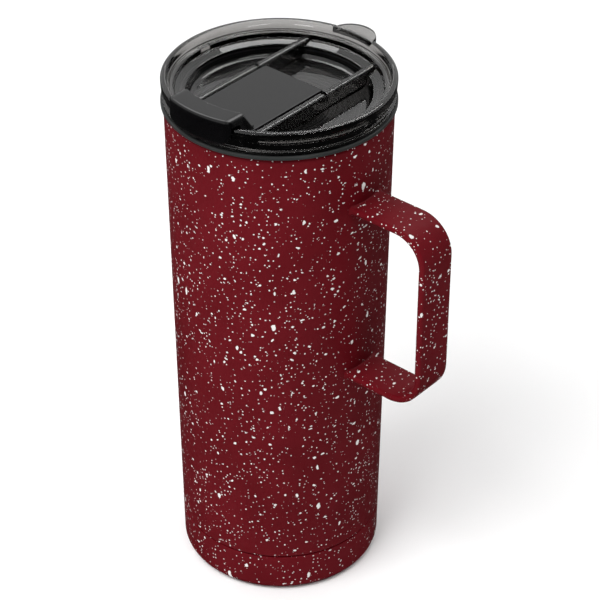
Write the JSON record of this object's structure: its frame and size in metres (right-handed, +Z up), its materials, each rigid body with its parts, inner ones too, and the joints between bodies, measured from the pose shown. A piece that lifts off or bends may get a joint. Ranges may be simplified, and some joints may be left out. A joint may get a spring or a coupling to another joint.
{
  "type": "insulated travel mug",
  "caption": "Insulated steel travel mug: tapered double-wall body in a speckled dark red coat, flat strap handle, press-in clear lid and a flip closure hinged over the drinking slot.",
  "frame": {"origin": "middle of the foot pad's underside, on the mug's axis", "axes": "+Z up along the mug's axis, +X towards the handle, -Y towards the drinking slot, +Y towards the lid's thumb tab"},
  "size_m": [0.1063, 0.086, 0.1969],
  "materials": {
    "powder_coat": "satin powder coat, dark red with off-white specks",
    "steel": "brushed stainless steel",
    "foil": "bright foil",
    "getter_metal": "dull grey metal",
    "smoke_clear": "clear plastic with a grey smoke tint, polished",
    "dark_plastic": "dark grey plastic, smooth",
    "black_plastic": "black plastic, satin top and polished edges",
    "silicone": "matt black silicone"
  },
  "bodies": {
    "mug": {"outer_shell": "powder_coat", "inner_liner": "steel", "foil_wrap": "foil", "outer_bottom": "steel", "vacuum_seal": "getter_metal", "getter": "getter_metal", "base_cup": "powder_coat", "foot_pad": "silicone", "handle_strap": "powder_coat", "handle_upper_weld": "powder_coat", "handle_lower_weld": "powder_coat"},
    "lid": {"lid_cover": "smoke_clear", "lid_insert": "dark_plastic", "lid_gasket": "silicone"},
    "closure": {"flip_cover": "black_plastic", "spout_plug": "silicone", "vent_plug": "silicone"}
  },
  "joints": [
    {"name": "lid_lift", "type": "slide", "parent": "mug", "child": "lid", "axis": [0, 0, 1], "range_m": [0, 0.035]},
    {"name": "closure_hinge", "type": "hinge", "parent": "lid", "child": "closure", "pos_m": [0, 0.0051, 0.187], "axis": [-1, 0, 0], "range_deg": [0, 140]}
  ]
}
